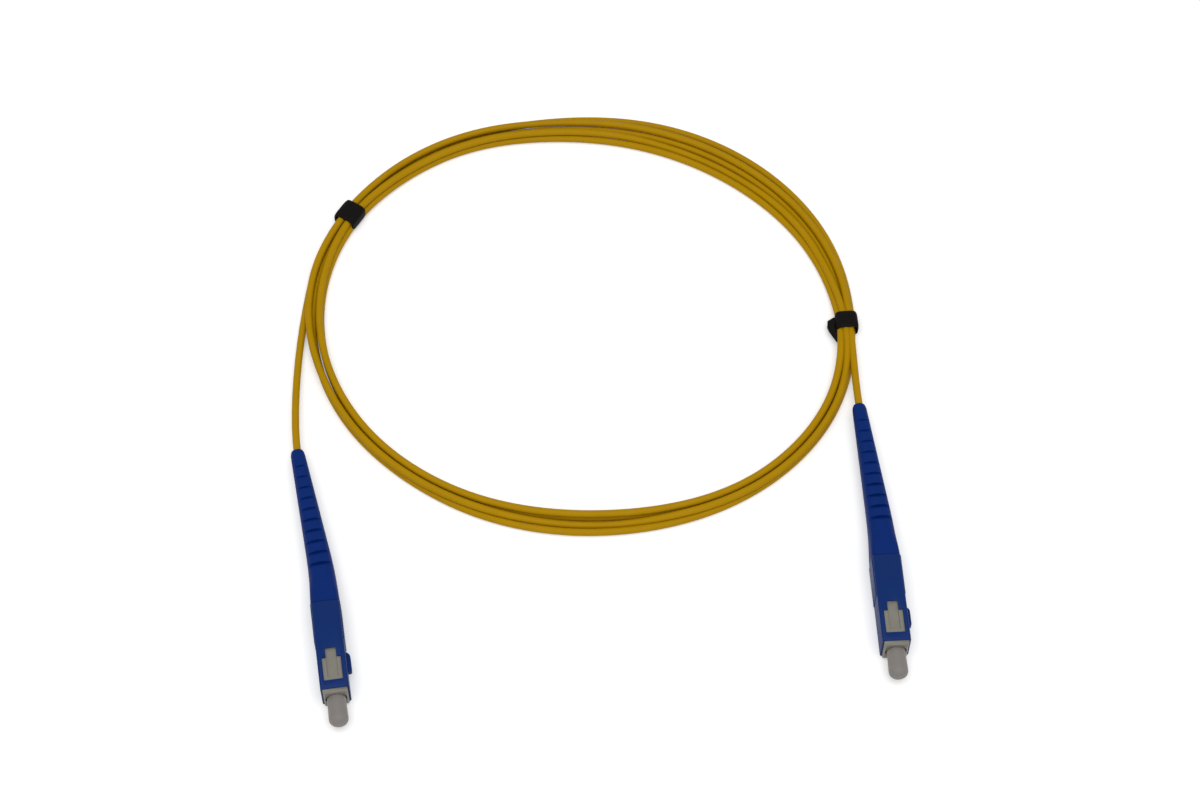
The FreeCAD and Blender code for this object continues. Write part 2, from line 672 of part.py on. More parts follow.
def make_plug(side):
    base = Vector(size(f"{side}_plug_x"), size(f"{side}_plug_y"), size("grip_height") / 2)
    placement = Placement(base, Rotation(Vector(0, 0, 1), size(f"{side}_plug_turn")))
    make_grip(f"{side}_grip_housing", placement)
    make_frame(f"{side}_plug_frame", placement)
    make_ferrule(f"{side}_ferrule", placement)
    make_flange(f"{side}_ferrule_flange", placement)
    make_spring(f"{side}_spring", placement)
    make_stop_ring(f"{side}_stop_ring", placement)
    make_yarn(f"{side}_aramid_yarn", placement)
    make_crimp(f"{side}_crimp_sleeve", placement)
    make_fibre(f"{side}_buffered_fibre", placement)
    make_boot(f"{side}_boot", placement)
    make_cap(f"{side}_dust_cap", placement)
    make_tail(f"{side}_cable_tail", placement, side)


for plug in ("left", "right"):
    make_plug(plug)
cable_coil = make_coil("cable_coil")
for plug in ("left", "right"):
    make_tie(f"{plug}_tie", plug, cable_coil)
doc.recompute()

for item in doc.Objects:
    if {"Invalid", "Error"} & set(item.State):
        raise RuntimeError(f"{item.Label} failed: {item.State}")
for item in sub_parts:
    if item.Shape.isNull() or not item.Shape.isValid() or len(item.Shape.Solids) != 1:
        raise RuntimeError(f"{item.Label} is not one valid solid")

os.makedirs("parts", exist_ok=True)
for item in sub_parts:
    item.Shape.exportStep(f"parts/{item.Label}.step")
    print(item.Label, round(item.Shape.Volume, 3), "mm3")
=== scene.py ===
import math

import bmesh
import bpy
from mathutils import Matrix, Vector


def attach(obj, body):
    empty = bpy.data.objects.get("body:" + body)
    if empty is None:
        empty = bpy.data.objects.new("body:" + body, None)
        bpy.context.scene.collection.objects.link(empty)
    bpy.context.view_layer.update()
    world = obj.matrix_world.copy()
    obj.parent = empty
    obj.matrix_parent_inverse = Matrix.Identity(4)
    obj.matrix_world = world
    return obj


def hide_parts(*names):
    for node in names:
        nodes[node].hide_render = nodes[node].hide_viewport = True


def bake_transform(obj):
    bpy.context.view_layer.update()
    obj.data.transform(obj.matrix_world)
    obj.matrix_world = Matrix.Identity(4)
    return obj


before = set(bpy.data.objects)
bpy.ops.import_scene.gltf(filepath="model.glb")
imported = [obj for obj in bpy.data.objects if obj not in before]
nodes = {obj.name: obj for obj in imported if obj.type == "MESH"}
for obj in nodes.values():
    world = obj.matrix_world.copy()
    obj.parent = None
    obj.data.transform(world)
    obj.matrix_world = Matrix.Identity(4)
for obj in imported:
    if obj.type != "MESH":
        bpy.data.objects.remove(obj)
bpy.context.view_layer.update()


# Cable: one length of 2 mm single-mode cord between the crimp sleeves of the two plugs, extruded in yellow.
# It lies in four and a half turns, two deep, loose at the upper right and at the bottom. Each turn shifts one
# seat in the bundle, in along the floor and then back over the top to the right-hand plug. In millimetres.
cable_radius = 1.0
coil_middle = Vector((-6.342, 78.596, 0))
coil_turn = Matrix.Rotation(math.radians(-12.5), 3, "Z")
coil_reach = (71.6, 61.1)
bundle_inset, bundle_sway, sway_angle = 1.9, 1.5, 60
# Stretches where the bundle's inner side leaves the oval: angle and reach in degrees, and how far out.
waves = [(16, 32, -0.85), (50, 45, -0.7), (127, 26, 0.9), (188, 45, -1.0), (240, 30, 0.4), (288, 34, -1.4)]
fan_angle, fan_reach = 70, 62
sag_angle, sag_reach = 282, 45
tie_angles = {"left": 162.6, "right": 12.0}
tie_reach, tie_lift = 25, 0.5
# Seats of the turns in the upper and lower half of the coil, from the first turn to the last: distance from
# the bundle's inner side, layer, how much further out where the turns are loose, and the same at the ties.
upper_seats = [(4.2, 0, 4.8, -0.5), (2.1, 0, 2.4, -0.2), (0, 0, 0, 0), (0.35, 1, 1.8, 0.6),
               (3.6, 1, 2.2, -0.6), (3.6, 1, 2.2, -0.6)]
lower_seats = [(2.4, 0, 2.1, 0), (0, 0, 0, 0), (0, 1, 0, 0), (2.3, 1, 0, 0), (4.0, 1, 0, 0)]
# Shares of a turn in which the cable climbs a layer, moves to its lower seat, and to its next upper one.
climb, move_down, move_up = (0.4, 0.44), (0.43, 0.53), (0.88, 1)
coil_turns, points_per_turn = 4.46, 36
floor_height, strand_spacing = 1.05, 2.04


def near(angle, centre, reach):
    """1 at an angle of the coil, in degrees, falling smoothly to 0 at a reach from it."""
    away = abs((math.degrees(angle) - centre + 180) % 360 - 180) / reach
    return math.cos(min(away, 1) * math.pi / 2) ** 2


def ring_place(angle, across):
    """A point at an angle of the coil's oval, so far out from the bundle's inner side."""
    offset = across + bundle_inset + bundle_sway * math.cos(angle + math.radians(sway_angle))
    offset += sum(shift * near(angle, centre, reach) for centre, reach, shift in waves)
    oval = Vector(((coil_reach[0] + offset) * math.cos(angle), (coil_reach[1] + offset) * math.sin(angle), 0))
    return coil_middle + coil_turn @ oval


def ease(value, low, high):
    """0 up to low, 1 from high on, and a smooth step between."""
    share = min(max((value - low) / (high - low), 0), 1)
    return share * share * (3 - 2 * share)


def squeeze(angle):
    """1 under a tie, falling to 0 on both sides of it."""
    return max(near(angle, tie_angles[side], tie_reach) for side in tie_angles)


def seat(turns):
    """How far out in the bundle the cable lies after so many turns, and in which layer."""
    angle = math.pi - math.tau * turns
    lap = math.floor(turns)
    rise, down, up = [ease(turns - lap, *stretch) for stretch in (climb, move_down, move_up)]
    fan, sag = near(angle, fan_angle, fan_reach), near(angle, sag_angle, sag_reach)
    before, middle, after = upper_seats[lap], lower_seats[lap], upper_seats[lap + 1]
    places = [before[0] + before[2] * fan + before[3] * squeeze(angle), middle[0] + middle[2] * sag,
              after[0] + after[3] * squeeze(angle)]
    across = places[0] + (places[1] - places[0]) * down + (places[2] - places[1]) * up
    return across, before[1] + (middle[1] - before[1]) * rise + (after[1] - middle[1]) * up


def strand_place(turns):
    """Where the cable lies after so many turns from the left side; an upper layer rests on a lower one."""
    angle = math.pi - math.tau * turns
    across, layer = seat(turns)
    lift = 0
    for lap in range(math.ceil(coil_turns)):
        other = turns % 1 + lap
        if lap != math.floor(turns) and other < coil_turns + 0.01:
            other_across, other_layer = seat(other)
            rest = math.sqrt(max(0, (strand_spacing * cable_radius) ** 2 - (across - other_across) ** 2))
            lift = max(lift, layer * (1 - other_layer) * rest)
    # The spline runs a little inside its points on a bend, so they stand out by as much.
    swell = 1 / (0.75 + 0.25 * math.cos(math.tau / points_per_turn))
    place = coil_middle + (ring_place(angle, across) - coil_middle) * swell
    return place + Vector((0, 0, floor_height * cable_radius + tie_lift * squeeze(angle) + lift))


left_tail = [(-72.65, -5.56, 4.5), (-78.75, 21.22, 4.5), (-82.7, 37.5, 4.5), (-83.54, 67.2, 1.4)]
right_tail = [(69.5, 66.5, 3.1), (69.8, 52.3, 4.5), (71.39, 35.49, 4.5), (74.1, 8.2, 4.5)]
route = [Vector(point) for point in left_tail]
route += [strand_place(step / points_per_turn) for step in range(round(coil_turns * points_per_turn))]
route += [Vector(point) for point in right_tail]
cable_line = bpy.data.curves.new("cable", "CURVE")
cable_line.dimensions = "3D"
spline = cable_line.splines.new("NURBS")
spline.points.add(len(route) - 1)
for place, point in zip(route, spline.points):
    point.co = (*(place / 1000), 1)
spline.order_u = 3
spline.use_endpoint_u = True
spline.resolution_u = 5
cable_line.bevel_depth = cable_radius / 1000
cable_line.bevel_resolution = 6
cable_line.use_fill_caps = True
cable = bpy.data.objects.new("cable", cable_line)
bpy.context.scene.collection.objects.link(cable)


def linear(code):
    """An sRGB hex colour as the linear values that a shader takes."""
    parts = [int(code[place:place + 2], 16) / 255 for place in (1, 3, 5)]
    return [part / 12.92 if part <= 0.04045 else ((part + 0.055) / 1.055) ** 2.4 for part in parts] + [1.0]


def new_finish(name):
    """A material with an empty node tree."""
    finish = bpy.data.materials.new(name)
    finish.use_nodes = True
    finish.node_tree.nodes.clear()
    return finish


def add(finish, kind, inputs, **settings):
    """Adds a node with its settings; each input is a value, or the output that feeds it."""
    tree = finish.node_tree
    made = tree.nodes.new(kind)
    for name, value in settings.items():
        setattr(made, name, value)
    for name, value in inputs.items():
        if isinstance(value, bpy.types.NodeSocket):
            tree.links.new(value, made.inputs[name])
        else:
            made.inputs[name].default_value = value
    return made


# Low-smoke jacket plastic, extruded: satin, with the faint waviness of the die and a soft mottle in the
# yellow.
jacket = new_finish("extruded_jacket_yellow")
place = add(jacket, "ShaderNodeTexCoord", {}).outputs["Object"]
mottle = add(jacket, "ShaderNodeTexNoise", {"Vector": place, "Scale": 1 / 0.006, "Detail": 3.0})
tint = add(jacket, "ShaderNodeMix", {"Factor": mottle.outputs["Fac"], "A": linear("#a67f00"),
                                     "B": linear("#b28704")}, data_type="RGBA")
skin = add(jacket, "ShaderNodeTexNoise", {"Vector": place, "Scale": 1 / 0.0005, "Detail": 2.0})
rough = add(jacket, "ShaderNodeMapRange", {"Value": skin.outputs["Fac"], "To Min": 0.42, "To Max": 0.54})
relief = add(jacket, "ShaderNodeBump", {"Height": skin.outputs["Fac"], "Strength": 0.12, "Distance": 0.0001})
shader = add(jacket, "ShaderNodeBsdfPrincipled", {
    "Base Color": tint.outputs[2], "Roughness": rough.outputs["Result"], "IOR": 1.5,
    "Specular IOR Level": 0.06, "Normal": relief.outputs["Normal"]})
add(jacket, "ShaderNodeOutputMaterial", {"Surface": shader.outputs["BSDF"]})
cable.data.materials.append(jacket)
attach(cable, "cable_and_frames")
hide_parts("cable_coil", "left_cable_tail", "right_cable_tail")


# Boots: soft rubber sleeves, moulded, pushed over the cable and the crimp sleeve with a spigot in the grip.
# They taper from the plug's rectangle to a round nose, rows of slots on top and bottom let them give way, and
# the pull of the cable has bent both a little to the left.
plug_seats = {"left": (-0.071312, -0.014054, 0.0045), "right": (0.074598, -0.000384, 0.0045)}
plug_turns = {"left": math.radians(8.8), "right": math.radians(3.2)}
plug_places = {side: Matrix.Translation(plug_seats[side]) @ Matrix.Rotation(plug_turns[side], 4, "Z")
               for side in plug_seats}
boot_bends = {"left": 0.078, "right": 0.048}
bend_start, bend_length = 6.0, 10.0
boot_start, boot_end = 0.1, 48.4
boot_base, boot_tip = (3.85, 4.45), (1.88, 1.88)
base_chamfer, crown_length = 0.12, 8.0
base_squareness, body_squareness, tip_squareness = 6.0, 2.9, 2.15
slot_pitch, slot_first, slot_count = 3.447, 11.45, 10
slot_widths = (1.3, 0.75)
slot_floors = (3.0, 1.5)
nose_length, nose_drop = 1.9, 0.62
points_round = 72


def outline(along, half_width, half_height, squareness):
    """A ring across the plug's axis: squareness 2 is an ellipse, more is nearer to a rectangle."""
    ring = []
    for index in range(points_round):
        turn = math.tau * index / points_round
        x, z = math.cos(turn), math.sin(turn)
        ring.append(Vector((math.copysign(abs(x) ** (2 / squareness), x) * half_width, along,
                            math.copysign(abs(z) ** (2 / squareness), z) * half_height)))
    return ring


def lofted(name, rings, place, capped=False):
    """A closed skin through rings in millimetres, whose two ends are joined together, or each capped."""
    shape = bmesh.new()
    loops = [[shape.verts.new(point / 1000) for point in ring] for ring in rings]
    for loop, following in zip(loops, loops[1:] if capped else loops[1:] + loops[:1]):
        for index in range(len(loop)):
            after = (index + 1) % len(loop)
            shape.faces.new((loop[index], loop[after], following[after], following[index]))
    if capped:
        shape.faces.new(loops[0])
        shape.faces.new(loops[-1])
    bmesh.ops.recalc_face_normals(shape, faces=shape.faces)
    shape.transform(place)
    mesh = bpy.data.meshes.new(name)
    shape.to_mesh(mesh)
    shape.free()
    mesh.shade_smooth()
    mesh.set_sharp_from_angle(angle=math.radians(35))
    piece = bpy.data.objects.new(name, mesh)
    bpy.context.scene.collection.objects.link(piece)
    return piece


def boot_ring(along, slot_share=0.0):
    """The boot's skin at a distance behind the grip, cut down to a share of the way to the slot's floor."""
    share = (along - boot_start) / (boot_end - boot_start)
    half = [base + (tip - base) * share for base, tip in zip(boot_base, boot_tip)]
    nose = max(0, (along - boot_end + nose_length) / nose_length)
    drop = nose_drop * (1 - math.sqrt(max(0, 1 - nose ** 2)))
    squareness = body_squareness + (tip_squareness - body_squareness) * share
    flat_share = 1 - ease(along, boot_start, boot_start + crown_length)
    squareness += (base_squareness - body_squareness) * flat_share
    ring = outline(along, half[0] - drop, half[1] - drop, squareness)
    floor = slot_floors[0] + (slot_floors[1] - slot_floors[0]) * share
    limit = half[1] + (floor - half[1]) * slot_share
    if slot_share:
        for point in ring:
            point.z = min(max(point.z, -limit), limit)
    return ring


def bent(point, turn):
    """A point of the boot after its tail has been pulled round by a small angle."""
    along = min(max(point.y - bend_start, 0), bend_length)
    slope = turn * along / bend_length
    shift = slope * along / 2 + turn * max(point.y - bend_start - bend_length, 0)
    return Vector((point.x - shift, point.y + point.x * slope, point.z))


# A slot's section: place across it in shares of its width, and depth there in shares of the whole depth.
slot_edges = [(-0.5, 0), (-0.42, 0.2), (-0.38, 0.85), (-0.3, 1),
              (0.3, 1), (0.38, 0.85), (0.42, 0.2), (0.5, 0)]
stations = [(boot_start + along, 0) for along in (base_chamfer, 1.5, 3, 4.5, 6, 7.5, 9, 44, 45.5)]
stations += [(boot_end - nose_length * (1 - math.sin(step * math.pi / 16)), 0) for step in range(1, 9)]
for index in range(slot_count):
    width = slot_widths[0] + (slot_widths[1] - slot_widths[0]) * index / (slot_count - 1)
    stations += [(slot_first + slot_pitch * index + offset * width, share) for offset, share in slot_edges]
stations.sort()
# The bore from the nose forward, over the cable and the two steps of the crimp sleeve: place and radius.
cable_bore, crimp_bore, sleeve_bore = 1.2, 1.67, 2.71
crimp_end, sleeve_end, spigot_front = 13.1, 8.7, -0.7
bore_steps = [(boot_end, cable_bore + 0.02), (boot_end - 0.2, cable_bore), (30, cable_bore), (20, cable_bore),
              (16, cable_bore), (crimp_end, cable_bore), (crimp_end, crimp_bore), (sleeve_end, crimp_bore),
              (sleeve_end, sleeve_bore), (spigot_front, sleeve_bore)]
spigot_width, spigot_height, spigot_chamfer, spigot_squareness = 3.05, 3.8, 0.1, 9
boot_rings = [outline(boot_start, boot_base[0] - base_chamfer, boot_base[1] - base_chamfer, base_squareness)]
boot_rings += [boot_ring(*station) for station in stations]
boot_rings += [outline(along, radius, radius, 2) for along, radius in bore_steps]
boot_rings += [outline(along, spigot_width - chamfer, spigot_height - chamfer, spigot_squareness)
               for along, chamfer in ((spigot_front, spigot_chamfer), (spigot_front + spigot_chamfer, 0),
                                      (boot_start, 0))]

# Thermoplastic rubber, moulded: deep blue with a dull bloom and the fine grain of the mould.
rubber = new_finish("moulded_rubber_blue")
place = add(rubber, "ShaderNodeTexCoord", {}).outputs["Object"]
bloom = add(rubber, "ShaderNodeTexNoise", {"Vector": place, "Scale": 1 / 0.004, "Detail": 4.0})
tint = add(rubber, "ShaderNodeMix", {"Factor": bloom.outputs["Fac"], "A": linear("#032466"),
                                     "B": linear("#05296e")}, data_type="RGBA")
grain = add(rubber, "ShaderNodeTexNoise", {"Vector": place, "Scale": 1 / 0.0003, "Detail": 2.0})
rough = add(rubber, "ShaderNodeMapRange", {"Value": bloom.outputs["Fac"], "To Min": 0.5, "To Max": 0.62})
relief = add(rubber, "ShaderNodeBump", {"Height": grain.outputs["Fac"], "Strength": 0.2, "Distance": 0.0001})
shader = add(rubber, "ShaderNodeBsdfPrincipled", {
    "Base Color": tint.outputs[2], "Roughness": rough.outputs["Result"], "IOR": 1.5,
    "Specular IOR Level": 0.08, "Normal": relief.outputs["Normal"]})
add(rubber, "ShaderNodeOutputMaterial", {"Surface": shader.outputs["BSDF"]})
for side in plug_places:
    bent_rings = [[bent(point, boot_bends[side]) for point in ring] for ring in boot_rings]
    boot = lofted(f"{side}_boot_moulding", bent_rings, plug_places[side])
    boot.data.materials.append(rubber)
    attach(boot, "cable_and_frames")
    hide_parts(f"{side}_boot")


# Yarns and buffered fibres: the cable's golden aramid yarn, combed back over the post of the plug and clamped
# there, and the white 0.9 mm buffer round the glass, which runs on through the plug into the ferrule.
for side, turn in plug_turns.items():
    # Aramid filaments, drawn and left untwisted: silky gold streaks along the plug. A filament is too fine to
    # show, so the streaks are drawn 0.15 mm wide.
    yarn = new_finish(f"{side}_aramid_filaments")
    place = add(yarn, "ShaderNodeTexCoord", {}).outputs["Object"]
    combed = add(yarn, "ShaderNodeMapping", {"Vector": place, "Rotation": (0, 0, -turn)})
    stretched = add(yarn, "ShaderNodeMapping", {"Vector": combed.outputs["Vector"],
                                                "Scale": (1 / 0.00015, 1 / 0.004, 1 / 0.00015)})
    streaks = add(yarn, "ShaderNodeTexNoise", {"Vector": stretched.outputs["Vector"], "Scale": 1.0,
                                               "Detail": 3.0})
    tint = add(yarn, "ShaderNodeMix", {"Factor": streaks.outputs["Fac"], "A": linear("#a87f2a"),
                                       "B": linear("#e0bf62")}, data_type="RGBA")
    relief = add(yarn, "ShaderNodeBump", {"Height": streaks.outputs["Fac"], "Strength": 0.5,
                                          "Distance": 0.0001})
    shader = add(yarn, "ShaderNodeBsdfPrincipled", {
        "Base Color": tint.outputs[2], "Roughness": 0.55, "Sheen Weight": 0.3,
        "Normal": relief.outputs["Normal"]})
    add(yarn, "ShaderNodeOutputMaterial", {"Surface": shader.outputs["BSDF"]})
    nodes[f"{side}_aramid_yarn"].material_slots[0].material = yarn

# Polyamide buffer, extruded: a clean half-matt white with a trace of cloudiness.
buffer = new_finish("extruded_polyamide_white")
place = add(buffer, "ShaderNodeTexCoord", {}).outputs["Object"]
cloud = add(buffer, "ShaderNodeTexNoise", {"Vector": place, "Scale": 1 / 0.001, "Detail": 2.0})
tint = add(buffer, "ShaderNodeMix", {"Factor": cloud.outputs["Fac"], "A": linear("#d6d3cc"),
                                     "B": linear("#e6e4de")}, data_type="RGBA")
rough = add(buffer, "ShaderNodeMapRange", {"Value": cloud.outputs["Fac"], "To Min": 0.38, "To Max": 0.48})
shader = add(buffer, "ShaderNodeBsdfPrincipled", {"Base Color": tint.outputs[2], "IOR": 1.53,
                                                  "Roughness": rough.outputs["Result"]})
add(buffer, "ShaderNodeOutputMaterial", {"Surface": shader.outputs["BSDF"]})
for side in plug_places:
    nodes[f"{side}_buffered_fibre"].material_slots[0].material = buffer


# Crimp sleeves, stop rings and ferrule collars: turned from brass bar and nickel plated. The sleeve clamps
# the yarn on the stop ring's post, the ring snaps into the plug frame, and the collar is pressed on the
# ferrule.
for side, turn in plug_turns.items():
    # Bright nickel on turned brass: a faintly warm grey metal, ringed by the tool. The rings are really about
    # 0.05 mm apart, and are drawn 0.3 mm apart so that they show.
    plating = new_finish(f"{side}_nickel_plated_brass")
    place = add(plating, "ShaderNodeTexCoord", {}).outputs["Object"]
    chucked = add(plating, "ShaderNodeMapping", {"Vector": place, "Rotation": (0, 0, -turn)})
    lines = add(plating, "ShaderNodeTexWave", {"Vector": chucked.outputs["Vector"], "Distortion": 0.5,
                                               "Scale": math.tau / 20 / 0.0003}, bands_direction="Y")
    tint = add(plating, "ShaderNodeMix", {"Factor": lines.outputs["Fac"], "A": linear("#b8b2a6"),
                                          "B": linear("#c8c3b8")}, data_type="RGBA")
    rough = add(plating, "ShaderNodeMapRange", {"Value": lines.outputs["Fac"], "To Min": 0.22,
                                                "To Max": 0.34})
    relief = add(plating, "ShaderNodeBump", {"Height": lines.outputs["Fac"], "Strength": 0.2,
                                             "Distance": 0.00005})
    shader = add(plating, "ShaderNodeBsdfPrincipled", {
        "Base Color": tint.outputs[2], "Metallic": 1.0, "Roughness": rough.outputs["Result"],
        "Normal": relief.outputs["Normal"]})
    add(plating, "ShaderNodeOutputMaterial", {"Surface": shader.outputs["BSDF"]})
    for piece in ("crimp_sleeve", "stop_ring", "ferrule_flange"):
        nodes[f"{side}_{piece}"].material_slots[0].material = plating


# Springs: steel wire wound between the stop ring and the ferrule's collar, to press the ferrule forward. The
# ring holds a spring's rear end and the collar its front.
wire = new_finish("drawn_spring_steel")
# Drawn spring steel: a bright neutral grey, with faint patches left by the drawing soap.
place = add(wire, "ShaderNodeTexCoord", {}).outputs["Object"]
patches = add(wire, "ShaderNodeTexNoise", {"Vector": place, "Scale": 1 / 0.0008, "Detail": 3.0})
tint = add(wire, "ShaderNodeMix", {"Factor": patches.outputs["Fac"], "A": linear("#8f8f90"),
                                   "B": linear("#a9a9aa")}, data_type="RGBA")
rough = add(wire, "ShaderNodeMapRange", {"Value": patches.outputs["Fac"], "To Min": 0.25, "To Max": 0.4})
shader = add(wire, "ShaderNodeBsdfPrincipled", {"Base Color": tint.outputs[2], "Metallic": 1.0,
                                                "Roughness": rough.outputs["Result"]})
add(wire, "ShaderNodeOutputMaterial", {"Surface": shader.outputs["BSDF"]})
for side, place in plug_places.items():
    spring_mesh = nodes[f"{side}_spring"].data.copy()
    spring_mesh.materials.clear()
    spring_mesh.materials.append(wire)
    spring = bpy.data.objects.new(f"{side}_spring_winding", spring_mesh)
    bpy.context.scene.collection.objects.link(spring)
    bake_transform(spring)
    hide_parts(f"{side}_spring")


# Ferrules: ceramic pins with the fibre glued in their bore, ground round and polished at the tip. Each is
# pressed in its collar and stands out of the plug frame, under the dust cap.
ceramic = new_finish("lapped_zirconia_white")
# Zirconia, ground and lapped: a dense, faintly creamy white with a wet-looking gloss.
place = add(ceramic, "ShaderNodeTexCoord", {}).outputs["Object"]
cloud = add(ceramic, "ShaderNodeTexNoise", {"Vector": place, "Scale": 1 / 0.002, "Detail": 3.0})
tint = add(ceramic, "ShaderNodeMix", {"Factor": cloud.outputs["Fac"], "A": linear("#dcd9d2"),
                                      "B": linear("#e8e6e0")}, data_type="RGBA")
rough = add(ceramic, "ShaderNodeMapRange", {"Value": cloud.outputs["Fac"], "To Min": 0.1, "To Max": 0.16})
shader = add(ceramic, "ShaderNodeBsdfPrincipled", {"Base Color": tint.outputs[2], "IOR": 2.15,
                                                   "Roughness": rough.outputs["Result"]})
add(ceramic, "ShaderNodeOutputMaterial", {"Surface": shader.outputs["BSDF"]})
for side in plug_places:
    nodes[f"{side}_ferrule"].material_slots[0].material = ceramic


# Plug frames: off-white inner bodies that hold the ferrule, seen through the windows of the grip and in front
# of it. Injection moulded in one piece, with edges just broken by the mould.
frame_edge = 0.08


def softened(name, node, edge, rounder=None, rounder_edge=0.0):
    """A copy of a solid with its edges rounded as by the mould, and more so those that rounder picks out."""
    shape = bmesh.new()
    shape.from_mesh(nodes[node].data)
    bmesh.ops.remove_doubles(shape, verts=shape.verts, dist=1e-6)
    bmesh.ops.dissolve_limit(shape, angle_limit=math.radians(1), verts=shape.verts, edges=shape.edges)
    if rounder:
        bmesh.ops.bevel(shape, geom=[line for line in shape.edges if rounder(line)], segments=5, profile=0.5,
                        offset=rounder_edge / 1000, affect="EDGES")
    mesh = bpy.data.meshes.new(name)
    shape.to_mesh(mesh)
    shape.free()
    mesh.shade_smooth()
    piece = bpy.data.objects.new(name, mesh)
    bpy.context.scene.collection.objects.link(piece)
    rounding = piece.modifiers.new("rounding", "BEVEL")
    rounding.width = edge / 1000
    rounding.segments = 2
    rounding.limit_method = "ANGLE"
    rounding.angle_limit = math.radians(40)
    rounding.use_clamp_overlap = False
    rounding.harden_normals = True
    return piece


# Polyester moulding compound in its natural colour: off-white, half matt, faintly clouded by its flow.
frame_plastic = new_finish("moulded_polyester_natural")
place = add(frame_plastic, "ShaderNodeTexCoord", {}).outputs["Object"]
cloud = add(frame_plastic, "ShaderNodeTexNoise", {"Vector": place, "Scale": 1 / 0.003, "Detail": 4.0})
tint = add(frame_plastic, "ShaderNodeMix", {"Factor": cloud.outputs["Fac"], "A": linear("#77746a"),
                                            "B": linear("#838077")}, data_type="RGBA")
grain = add(frame_plastic, "ShaderNodeTexNoise", {"Vector": place, "Scale": 1 / 0.0002, "Detail": 2.0})
rough = add(frame_plastic, "ShaderNodeMapRange", {"Value": cloud.outputs["Fac"], "To Min": 0.38,
                                                  "To Max": 0.5})
relief = add(frame_plastic, "ShaderNodeBump", {"Height": grain.outputs["Fac"], "Strength": 0.12,
                                               "Distance": 0.0001})
shader = add(frame_plastic, "ShaderNodeBsdfPrincipled", {
    "Base Color": tint.outputs[2], "Roughness": rough.outputs["Result"], "IOR": 1.55,
    "Specular IOR Level": 0.25, "Normal": relief.outputs["Normal"]})
add(frame_plastic, "ShaderNodeOutputMaterial", {"Surface": shader.outputs["BSDF"]})
for side in plug_places:
    plug_frame = softened(f"{side}_frame_moulding", f"{side}_plug_frame", frame_edge)
    plug_frame.data.materials.append(frame_plastic)
    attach(plug_frame, "cable_and_frames")
    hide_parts(f"{side}_plug_frame")


# Grip housings: outer sleeves that slide on the plug frames, with stepped windows, finger pads and a key.
# Injection moulded in blue, with softly rounded outer edges and well rounded corners on the key.
grip_edge = 0.12
key_reach, key_round = 4.75, 0.55


def key_corner(line, place):
    """Whether an edge is one of the two outer corners of the key on the plug at a place."""
    ends = [(place.inverted() @ vert.co) * 1000 for vert in line.verts]
    return min(end.x for end in ends) > key_reach and abs(ends[0].y - ends[1].y) < 0.01


# Polyester moulding compound, dyed: an even, half-matt deep blue with the fine grain of the mould.
grip_plastic = new_finish("moulded_polyester_blue")
place = add(grip_plastic, "ShaderNodeTexCoord", {}).outputs["Object"]
cloud = add(grip_plastic, "ShaderNodeTexNoise", {"Vector": place, "Scale": 1 / 0.005, "Detail": 4.0})
tint = add(grip_plastic, "ShaderNodeMix", {"Factor": cloud.outputs["Fac"], "A": linear("#02265f"),
                                           "B": linear("#042a69")}, data_type="RGBA")
grain = add(grip_plastic, "ShaderNodeTexNoise", {"Vector": place, "Scale": 1 / 0.00025, "Detail": 2.0})
rough = add(grip_plastic, "ShaderNodeMapRange", {"Value": grain.outputs["Fac"], "To Min": 0.36,
                                                 "To Max": 0.5})
relief = add(grip_plastic, "ShaderNodeBump", {"Height": grain.outputs["Fac"], "Strength": 0.15,
                                              "Distance": 0.0001})
shader = add(grip_plastic, "ShaderNodeBsdfPrincipled", {
    "Base Color": tint.outputs[2], "Roughness": rough.outputs["Result"], "IOR": 1.55,
    "Specular IOR Level": 0.1, "Normal": relief.outputs["Normal"]})
add(grip_plastic, "ShaderNodeOutputMaterial", {"Surface": shader.outputs["BSDF"]})
for side, place in plug_places.items():
    grip = softened(f"{side}_grip_moulding", f"{side}_grip_housing", grip_edge,
                    lambda line: key_corner(line, place), key_round)
    grip.data.materials.append(grip_plastic)
    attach(grip, f"{side}_grip")
    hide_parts(f"{side}_grip_housing")


# Dust caps: blind tubes with a slight waist and a rounded end, pushed over the ferrules. Injection moulded in
# soft polyethylene, so that the bore grips the ferrule.
cap_rear, cap_front, cap_outer, cap_bore, bore_end = 22.15, 33.55, 2.5, 1.3, 27.4
bore_chamfer, rim_chamfer, cap_round, end_swell = 0.25, 0.2, 1.85, 0.03
cap_waist = [(24.0, 0.04), (26.0, 0.09), (28.0, 0.07), (30.0, 0)]
# The profile in distance forward and radius: out of the bore, round the rim and along the outside.
profile = [(bore_end, 0.3), (bore_end, cap_bore), (cap_rear + bore_chamfer, cap_bore),
           (cap_rear, cap_bore + bore_chamfer), (cap_rear, cap_outer - rim_chamfer),
           (cap_rear + rim_chamfer, cap_outer)]
profile += [(forward, cap_outer - narrowing) for forward, narrowing in cap_waist]
for step in range(11):
    turn = step / 10 * math.pi / 2
    profile.append((cap_front - cap_round * (1 - math.sin(turn)),
                    cap_outer + end_swell - cap_round * (1 - math.cos(turn))))
cap_rings = [outline(-forward, radius, radius, 2) for forward, radius in profile]

